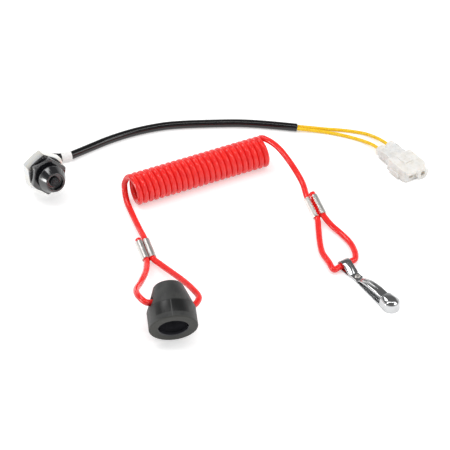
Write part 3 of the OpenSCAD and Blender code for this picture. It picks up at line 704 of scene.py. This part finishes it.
stations = []
for a in range(88, -1, -8):
    end = Vector((math.sin(math.radians(a)), math.cos(math.radians(a)))) * nose_half
    stations.append((nose_x + end.x, plate_mid, end.y))
stations += [(nose_from, plate_mid, NOSE_FROM_HALF), (NECK_TO, plate_mid, NECK_HALF)]
stations += [(NECK_FROM, plate_mid, NECK_HALF), (EYE_TO, plate_mid, EYE_HALF)]
eye_mid = EYE_UP - HOOK_T / 2
for a in range(270, 89, -12):
    bend = math.radians(a)
    stations.append((eye_mid * math.cos(bend), EYE_UP + eye_mid * math.sin(bend), EYE_HALF))
leg_top = EYE_UP + eye_mid
leg_line = rounded_line(
    (0, leg_top, 0), (1.6, leg_top, 1.2), (LEG_FOOT, leg_foot_up, 1.1), (NECK_TO, leg_foot_up, 0)
)
for p in leg_line[1:]:
    stations.append((p.x, p.y, EYE_HALF if p.x < STEP_AT else NECK_HALF))

strip = bmesh.new()
loft(strip, [[(x, side * half, z) for x, z, half in stations] for side in (-1, 1)])
strip = pressed(strip, HOOK_T, 0, 0.15, (20, 0, 3))

dome = bmesh.new()
nose_line = rounded_line(
    (nose_half, 0.4, 0), (nose_half, NOSE_H - 1.9, NOSE_EDGE), (nose_half / 2, NOSE_H - 0.15, 3),
    (0, NOSE_H, 0), steps=8,
)
chain(dome, [(nose_x, -p.x, p.y) for p in nose_line])
bmesh.ops.spin(
    dome, geom=dome.verts[:] + dome.edges[:], cent=(nose_x * MM, 0, 0), axis=(0, 0, 1),
    angle=math.pi, steps=32,
)
bmesh.ops.remove_doubles(dome, verts=dome.verts, dist=MERGE)
open_end = [e for e in dome.edges if all(v.co.x < (nose_x + 0.01) * MM for v in e.verts)]
drawn = bmesh.ops.extrude_edge_only(dome, edges=open_end)["geom"]
for vert in [v for v in drawn if isinstance(v, bmesh.types.BMVert)]:
    vert.co.x = nose_from * MM
    vert.co.y *= NOSE_FROM_HALF / nose_half
dome = pressed(dome, HOOK_T, -1, 0.2, (nose_x, 0, 2))
put(
    "hook_body_piece", placed(joined(strip, dome), at_hook), nickel,
    "hook", "hook_steel", "hook_body",
)

# %% [markdown]
# **The gate** is a spring steel channel whose end lies inside the nose. It ramps up from a narrow
# root, and a tapered slot frees a tongue that slopes down under it to the rivet. Each row of the
# table gives the place along the hook, the top, the half width, the side and half the slot.

# %% Gate with its slot and tongue
GATE_T, GATE_ROUND, GATE_PLAY = 0.7, 1.0, 0.3
GATE_TOP = NOSE_H - HOOK_T - GATE_PLAY
TONGUE_T, SLOT_FROM, SLOT_TO = 0.4, 18, 33
gate_rows = (
    (15.5, 1.95, 2.6, 0.1, 1.0), (16.3, 2.3, 2.6, 0.1, 1.0), (SLOT_FROM, 3.3, 2.7, 0.3, 0.95),
    (20.2, 4.4, 2.85, 0.8, 0.85), (21.8, 5.05, 3, 1.1, 0.8), (24, 5.6, 3.1, 1.2, 0.7),
    (28, 6.1, 3.3, 1.2, 0.45), (SLOT_TO, GATE_TOP, 3.4, 1.2, 0.15), (38, GATE_TOP, 3.1, 1.2, 0.15),
    (43.9, GATE_TOP - 0.4, 2.8, 0.8, 0.15),
)


def half_section(x, top, half, side, slot, hand):
    """Half of the channel's section, from the foot of its side to the slot's edge."""
    corner = min(GATE_ROUND, 0.9 * side)
    line = rounded_line((half, top - side, 0), (half, top, corner), (slot, top, 0))
    return [(x, hand * p.x, p.y) for p in line]


gate = bmesh.new()
for hand in (-1, 1):
    loft(gate, [half_section(*row, hand) for row in gate_rows])
to_slot, past_slot = gate_rows[:3], gate_rows[7:]
for rows in (to_slot, past_slot):
    loft(gate, [[(x, -slot, top), (x, slot, top)] for x, top, _, _, slot in rows])
gate = pressed(gate, GATE_T, -1, 0.12, (30, 0, 3))
tongue = bmesh.new()
tongue_rows = ((17.4, 2.3, 0.75), (24, 3.6, 0.6), (33.5, 5.5, 0.12))
loft(tongue, [[(x, -half, z), (x, half, z)] for x, z, half in tongue_rows])
tongue = pressed(tongue, TONGUE_T, -1, 0.05, (25, 0, 0))
put(
    "hook_gate_piece", placed(joined(gate, tongue), at_hook), nickel,
    "gate", "hook_steel", "hook_gate",
)

# %% [markdown]
# The other rigid pieces are right in the CAD part already. Their flat faces are joined first, because
# a bevel can only round an edge between whole faces, and then the sharp edges are rounded.

# %% Rigid pieces that keep the CAD form
for node, edge_mm, material, body, slot in (
    ("lock_nut", 0.25, zinc_plate, "root", "zinc_plate"),
    ("cap", 0.3, cap_rubber, "cap", "cap_rubber"),
    ("seal_washer", 0.3, seal_rubber, "root", "seal_rubber"),
    ("marker_band", 0.1, white_tape, "root", "white_tape"),
    ("connector_housing", 0.5, natural_nylon, "root", "natural_nylon"),
    ("hook_rivet", 0.2, crimp_plate, "hook", "crimp_steel"),
):
    put(f"{node}_piece", softened(node, edge_mm), material, body, slot, node)

# %% [markdown]
# ** The return spring** is wound from drawn steel wire. It lies inside the body, so it keeps the turns
# of the CAD part. The real spring shortens towards its rear end as the plunger goes in by its 3 mm
# stroke.

# %% Return spring
spring = cad_copy("return_spring")
spring_piece = put(
    "return_spring_piece", spring, spring_wire, "root", "spring_steel", "return_spring"
)
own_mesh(spring_piece)

# %% [markdown]
# The other hidden pieces only need a finish on their CAD mesh.

# %% Hidden pieces keep their CAD mesh and get a finish
for node, material in (
    ("contact_bridge", brass),
    ("contact_left", brass),
    ("contact_right", brass),
    ("rear_plug", plug_nylon),
    ("terminal_left", brass),
    ("terminal_right", brass),
):
    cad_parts[node].data.materials.clear()
    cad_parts[node].data.materials.append(material)
    print(node, "is", material.name)

# %% [markdown]
# ## Cords
# The red tether is one length of cord. It starts as a short tail in the first crimp, runs to the
# cap, passes through the cap's cross hole and back through the crimp, winds into the coil, and
# ends the same way round the eye of the hook. The bends between the listed points follow a
# smooth curve, and the coil's turns are a helix worked out by a loop.


# %% Route helpers
def crimp_spot(end, along, across):
    return at_crimp[end] @ (Vector((along, across, 0)) * MM)


def on_table(*points):
    return [TABLE_SHIFT + Vector(p) * MM for p in points]


def smooth_route(points, steps=8):
    """A smooth line through the points, its slope at each set by its neighbours."""
    padded = [2 * points[0] - points[1], *points, 2 * points[-1] - points[-2]]
    line = []
    for p0, p1, p2, p3 in zip(padded, padded[1:], padded[2:], padded[3:]):
        d1, d2, d3 = (math.sqrt((b - a).length) for a, b in ((p0, p1), (p1, p2), (p2, p3)))
        m1 = (p1 - p0) / d1 - (p2 - p0) / (d1 + d2) + (p2 - p1) / d2
        m2 = (p2 - p1) / d2 - (p3 - p1) / (d2 + d3) + (p3 - p2) / d3
        for i in range(steps):
            t = i / steps
            line.append(
                (2 * t**3 - 3 * t**2 + 1) * p1
                + (t**3 - 2 * t**2 + t) * d2 * m1
                + (3 * t**2 - 2 * t**3) * p2
                + (t**3 - t**2) * d2 * m2
            )
    return line + [points[-1]]


def lay_cord(name, line, radius_mm, material, slot, *nodes, **facts):
    """One open curve with a round section, which stands for its CAD solids."""
    curve = bpy.data.curves.new(name, "CURVE")
    curve.dimensions = "3D"
    curve.bevel_depth = radius_mm * MM
    curve.bevel_resolution = 5
    curve.use_fill_caps = True
    spline = curve.splines.new("POLY")
    spline.points.add(len(line) - 1)
    for point, spot in zip(spline.points, line):
        point.co = (*spot, 1)
    spline.use_smooth = True
    curve.materials.append(material)
    cord = bpy.data.objects.new(name, curve)
    bpy.context.scene.collection.objects.link(cord)
    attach(cord, "root")
    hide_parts(*nodes)


# %% [markdown]
# The tether's cord is 4 mm thick and limp. Two strands lie side by side in each crimp, one cord
# diameter apart.

# %% The red tether
COIL_R, COIL_TURNS, STEPS_A_TURN = 10.9, 24, 28
TAIL = CRIMP_HALF + 2.5
HOLE_TURN, HOLE_AT = math.radians(18), 12
cap_hole = [
    at_cap @ (Vector((x * math.cos(HOLE_TURN), -x * math.sin(HOLE_TURN), HOLE_AT)) * MM)
    for x in (15, 11.5, -11.5, -15.5)
]
hook_eye = [at_hook @ (Vector((0, y, EYE_UP)) * MM) for y in (-8.5, -4.5, 4.5, 8)]

cap_side = [
    *on_table((-61.5, 26, 19.3), (-64, 29.4, 15.6), (-65.9, 29.9, 10.5), (-65.7, 27.2, 5.6)),
    *on_table((-64.2, 20.4, 2.9), (-60.2, 8.2, 2.1), (-55.4, -7, 3.4)),
    crimp_spot("cap", -CRIMP_HALF, STRAND),
    crimp_spot("cap", CRIMP_HALF, STRAND),
    *on_table((-40.3, -44.6, 4.9), (-33.4, -54.4, 7.2), (-26.2, -65.2, 10)),
    *on_table((-20, -76, 12.6), (-15.9, -86, 14.2)),
    *cap_hole,
    *on_table((-52, -95, 23.6), (-54, -85, 19.6), (-52, -70, 12.6)),
    *on_table((-49.6, -55, 7.6), (-49.2, -45, 5)),
    crimp_spot("cap", CRIMP_HALF, -STRAND),
    crimp_spot("cap", -TAIL, -STRAND),
]
hook_side = [
    *on_table((25.5, 66.6, 19.9), (30.5, 62.5, 19.9), (36, 56.4, 18.9), (41.5, 49, 16)),
    *on_table((46.8, 40, 12.8), (51, 30, 10.4)),
    crimp_spot("hook", -CRIMP_HALF, -STRAND),
    crimp_spot("hook", CRIMP_HALF, -STRAND),
    *on_table((60.2, -8, 2.9), (60.6, -19, 2.3), (61.8, -30, 2.4), (65.4, -39.4, 2.9)),
    *hook_eye,
    *on_table((82.6, -31, 2.9), (80.2, -21, 2.4), (75, -12, 2.4), (68.8, -4, 3.1)),
    crimp_spot("hook", CRIMP_HALF, STRAND),
    crimp_spot("hook", -TAIL, STRAND),
]

coil_frame = table_place(-62.4, 21.8, COIL_R) @ turn(25.7, "Z")
from_coil = coil_frame.inverted()


def around(spot):
    """How far along the coil a point lies, and its angle from the top, turning towards the viewer."""
    near = from_coil @ spot
    return near.x, math.atan2(-near.y, near.z)


(first_x, first_a), (last_x, last_a) = around(cap_side[0]), around(hook_side[0])
sweep = last_a - first_a + 2 * math.pi * COIL_TURNS
steps = COIL_TURNS * STEPS_A_TURN
ring_r = (COIL_R - CORD_R) * MM
helix = []
for i in range(1, steps):
    angle = first_a + sweep * i / steps
    along = first_x + (last_x - first_x) * i / steps
    helix.append(coil_frame @ Vector((along, -ring_r * math.sin(angle), ring_r * math.cos(angle))))

tether_line = smooth_route(cap_side)[::-1] + helix + smooth_route(hook_side)
lay_cord(
    "tether_cord", tether_line, CORD_R, red_cord, "red_cord",
    "coil", "cord_cap_end", "cord_hook_end", far_end="object", stiffness="limp", lay="coiled",
    with_pieces=["crimp_cap_end_piece", "crimp_hook_end_piece"],
)

# %% [markdown]
# The lead leaves the switch as a black sleeve with two yellow wires inside. It bends down behind
# the nut, lies on the table, and the wires leave its cut end for the connector.

# %% Lead and wires
SLEEVE_R, WIRE_R, WAY_PITCH, CONNECTOR_MID = 2.8, 1.2, 8, 4.5
sleeve_ends = [at_switch @ (Vector((0, 0, z)) * MM) for z in (-18.5, -23)]
sleeve_route = sleeve_ends + on_table(
    (-127.3, 56.8, 8.3), (-126.3, 61.8, 6.6), (-121.8, 65.3, 5.2), (-115, 66, 4.1),
    (-107, 67, 3.6), (-99, 72.6, 3.1), (-91, 78.6, 2.8), (-79, 86.8, 2.8),
    (-66, 93.9, 2.8), (-53, 99.2, 2.8), (-40, 102.8, 2.8), (-27, 104.4, 2.8),
    (-14, 105.2, 2.8), (-2, 105.7, 2.8), (10, 105.8, 2.8), (22, 104.9, 2.8),
    (36, 103, 2.8), (49.5, 100.8, 2.8),
)


def way(side, along):
    return at_connector @ (Vector((along, side * WAY_PITCH / 2, CONNECTOR_MID)) * MM)


upper_route = [
    *on_table((49.95, 102.1, 2.8), (59, 101.9, 1.9), (69, 101.1, 1.3), (79, 99.9, 1.3)),
    *on_table((88, 98.2, 1.3), (97, 94.9, 1.6), (104, 88.9, 2.6), (108.3, 83, 3.8)),
    way(1, 0),
    way(1, 4),
]
lower_route = [
    *on_table((49.5, 99.5, 2.8), (59, 98.9, 1.9), (69, 97.5, 1.3), (78, 94.8, 1.3)),
    *on_table((87.5, 91, 1.3), (94.5, 87, 1.6), (99, 82.6, 2.6), (102.3, 77.8, 3.8)),
    way(-1, 0),
    way(-1, 4),
]
lay_cord(
    "lead_sleeve_tube", smooth_route(sleeve_route), SLEEVE_R, sleeve_vinyl, "sleeve_pvc",
    "lead_sleeve", far_end="bare", stiffness="medium", lay="loose",
    with_pieces=["marker_band_piece"],
)
for name, route, ending in (
    ("upper", upper_route, ["connector_housing_piece", "terminal_right"]),
    ("lower", lower_route, ["connector_housing_piece", "terminal_left"]),
):
    lay_cord(
        f"wire_{name}_vinyl", smooth_route(route), WIRE_R, yellow_vinyl, "yellow_pvc",
        f"wire_{name}", far_end="connector", stiffness="medium", lay="loose", with_pieces=ending,
    )

# %% [markdown]
# ## Stage and light
# The photograph has a white ground with hardly any shadow. A floor that adds its own light only for
# the camera and for reflections stays white, while the lamps still draw the soft shadows on it.

# %% Floor and world
FLOOR_HALF, FLOOR_GLOW = 3, 0.42
WORLD_FILL, CEILING, WHITE_TO, DARK_FROM = 0.6, 0.17, 0.2, 0.55

floor_mesh = bpy.data.meshes.new("floor")
bm = bmesh.new()
bmesh.ops.create_grid(bm, x_segments=1, y_segments=1, size=FLOOR_HALF)
bm.to_mesh(floor_mesh)
bm.free()
floor = bpy.data.objects.new("floor", floor_mesh)
bpy.context.scene.collection.objects.link(floor)

paper = bpy.data.materials.new("white_paper")
paper.use_nodes = True
tree = paper.node_tree
tree.nodes.clear()


def seen_directly(tree):
    """1 for rays from the camera, mirrors and glass, and 0 for the light that surfaces pass on."""
    path = add(tree, "ShaderNodeLightPath")
    either = add(tree, "ShaderNodeMath", operation="MAXIMUM")
    tree.links.new(path.outputs["Is Camera Ray"], either.inputs[0])
    tree.links.new(path.outputs["Is Glossy Ray"], either.inputs[1])
    every = add(tree, "ShaderNodeMath", operation="MAXIMUM")
    tree.links.new(either.outputs[0], every.inputs[0])
    tree.links.new(path.outputs["Is Transmission Ray"], every.inputs[1])
    return every.outputs[0]


glow = add(tree, "ShaderNodeMath", operation="MULTIPLY")
tree.links.new(seen_directly(tree), glow.inputs[0])
glow.inputs[1].default_value = FLOOR_GLOW
paper_diffuse = add(tree, "ShaderNodeBsdfDiffuse", {"Color": linear("#F0F0F0")})
paper_glow = add(tree, "ShaderNodeEmission", {"Strength": glow.outputs[0]})
both_shaders = add(tree, "ShaderNodeAddShader")
tree.links.new(paper_diffuse.outputs[0], both_shaders.inputs[0])
tree.links.new(paper_glow.outputs[0], both_shaders.inputs[1])
add(tree, "ShaderNodeOutputMaterial", {"Surface": both_shaders.outputs[0]})
floor_mesh.materials.append(paper)

world = bpy.data.worlds.new("studio")
bpy.context.scene.world = world
world.use_nodes = True
tree = world.node_tree
tree.nodes.clear()

# Reflections see white walls low down, which fade to a dark ceiling higher up
way_out = add(tree, "ShaderNodeTexCoord").outputs["Generated"]
sky = add(tree, "ShaderNodeSeparateXYZ", {"Vector": way_out})
room = add(
    tree,
    "ShaderNodeMapRange",
    {
        "Value": sky.outputs["Z"], "From Min": WHITE_TO, "From Max": DARK_FROM,
        "To Min": 1.0, "To Max": CEILING,
    },
)
path = add(tree, "ShaderNodeLightPath")
mirrored = add(
    tree,
    "ShaderNodeMapRange",
    {"Value": path.outputs["Is Glossy Ray"], "To Min": 1.0, "To Max": room.outputs["Result"]},
)
level = add(
    tree,
    "ShaderNodeMapRange",
    {"Value": seen_directly(tree), "To Min": WORLD_FILL, "To Max": mirrored.outputs["Result"]},
)
background = add(
    tree, "ShaderNodeBackground", {"Color": (1, 1, 1, 1), "Strength": level.outputs["Result"]}
)
add(tree, "ShaderNodeOutputWorld", {"Surface": background.outputs[0]})
print("floor and world ready")

# %% [markdown]
# Small shiny things are lit for their reflections. Two softboxes light everything from behind and
# from the right, and a long strip hangs overhead. A low lamp on the left adds no light to the
# colours and only shows as a glint.


# %% Lamps
def softbox(name, place, size, watts, glint_only=False):
    lamp = bpy.data.lights.new(name, "AREA")
    lamp.shape = "RECTANGLE"
    lamp.size, lamp.size_y = size
    lamp.energy = watts
    obj = bpy.data.objects.new(name, lamp)
    obj.location = Vector(place)
    obj.rotation_euler = Vector(place).to_track_quat("Z", "Y").to_euler()
    obj.visible_diffuse = not glint_only
    bpy.context.scene.collection.objects.link(obj)
    print(name, watts, "W")


softbox("key_lamp", (-0.55, 0.5, 0.9), (0.5, 0.35), 2.4)
softbox("fill_lamp", (0.8, -0.25, 0.75), (0.6, 0.4), 2.2)
softbox("strip_lamp", (0, -0.1, 1.0), (1.4, 0.1), 3.0)
softbox("left_lamp", (-0.8, -0.22, 0.1), (0.3, 0.25), 2.5, glint_only=True)
